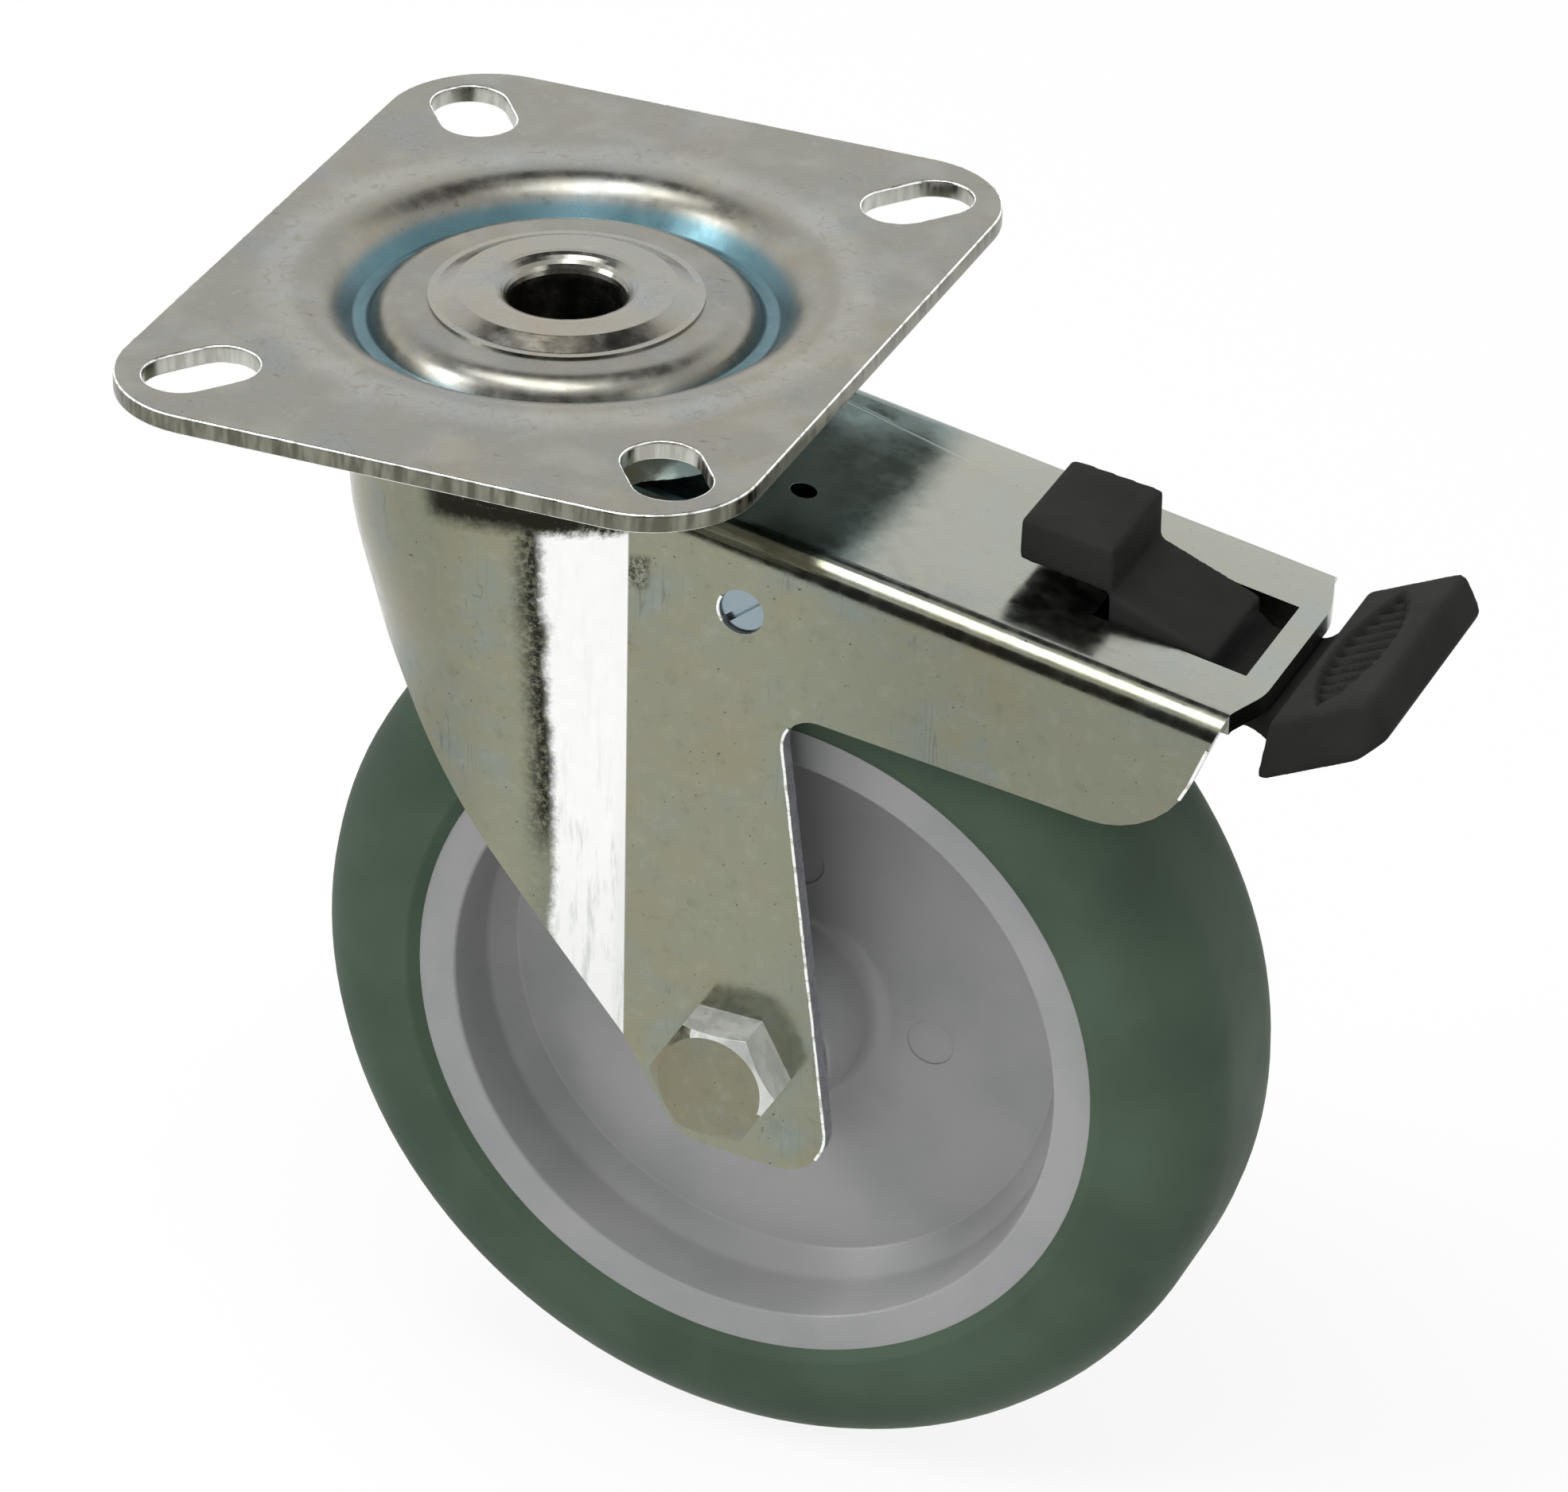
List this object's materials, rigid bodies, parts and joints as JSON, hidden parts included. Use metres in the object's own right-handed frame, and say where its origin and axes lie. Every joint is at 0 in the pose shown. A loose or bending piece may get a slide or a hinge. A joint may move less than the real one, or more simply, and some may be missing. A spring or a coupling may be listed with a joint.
{
  "type": "braked swivel castor",
  "caption": "Swivel castor with a slotted fixing plate, pressed zinc-plated fork, rubber-tyred wheel on a roller bearing, and a rear pedal that locks wheel and swivel.",
  "frame": {"origin": "centre of the fixing plate's top face, on the swivel axis", "axes": "+Z out of the plate's top face along the swivel axis, +X towards the brake pedal with the wheel trailing, wheel axle along Y"},
  "size_m": [0.1586, 0.1044, 0.156],
  "materials": {
    "plate_zinc": "bright zinc plate on rolled sheet",
    "rivet_zinc": "bright zinc plate",
    "race_steel": "hardened, oiled",
    "lock_steel": "hardened, oiled",
    "ball_steel": "ground and polished",
    "fork_zinc": "bright zinc plate, passivated",
    "bolt_zinc": "bright zinc plate",
    "blue_nylon": "satin",
    "roller_steel": "ground",
    "pin_zinc": "bright zinc plate",
    "wheel_plastic": "satin, moulded",
    "tyre_rubber": "smooth, satin",
    "cage_nylon": "natural nylon",
    "cap_plastic": "fine texture",
    "lever_zinc": "bright zinc plate",
    "spring_steel": "tempered spring steel",
    "pedal_plastic": "satin, moulded"
  },
  "bodies": {
    "plate": {"top_plate": "plate_zinc", "king_rivet": "rivet_zinc", "lower_race": "race_steel", "lock_ring": "lock_steel"},
    "fork": {"fork": "fork_zinc", "upper_balls": "ball_steel", "lower_balls": "ball_steel", "axle_bolt": "bolt_zinc", "axle_nut": "bolt_zinc", "nut_locking_ring": "blue_nylon", "axle_tube": "roller_steel", "lever_pins": "pin_zinc"},
    "wheel": {"wheel_centre": "wheel_plastic", "tyre": "tyre_rubber", "rollers": "roller_steel", "roller_cage": "cage_nylon", "bearing_caps": "cap_plastic"},
    "brake_lever": {"brake_lever": "lever_zinc", "brake_shoe": "lock_steel", "shoe_rivets": "pin_zinc", "return_spring": "spring_steel", "spring_rivet": "pin_zinc", "rocker_pin": "pin_zinc"},
    "pedal": {"brake_pedal": "pedal_plastic"}
  },
  "joints": [
    {"name": "swivel", "type": "hinge", "parent": "plate", "child": "fork", "pos_m": [0, 0, 0], "axis": [0, 0, 1], "continuous": true},
    {"name": "wheel_spin", "type": "hinge", "parent": "fork", "child": "wheel", "pos_m": [0.033, 0, -0.0935], "axis": [0, 1, 0], "continuous": true},
    {"name": "brake_lever_hinge", "type": "hinge", "parent": "fork", "child": "brake_lever", "pos_m": [0.0336, 0, -0.0279], "axis": [0, 1, 0], "range_deg": [0, 5]},
    {"name": "pedal_hinge", "type": "hinge", "parent": "brake_lever", "child": "pedal", "pos_m": [0.084, 0, -0.0344], "axis": [0, 1, 0], "range_deg": [0, 18]}
  ],
  "couplings": [
    {"joint": "brake_lever_hinge", "follows": "pedal_hinge", "ratio": 0.2777}
  ]
}
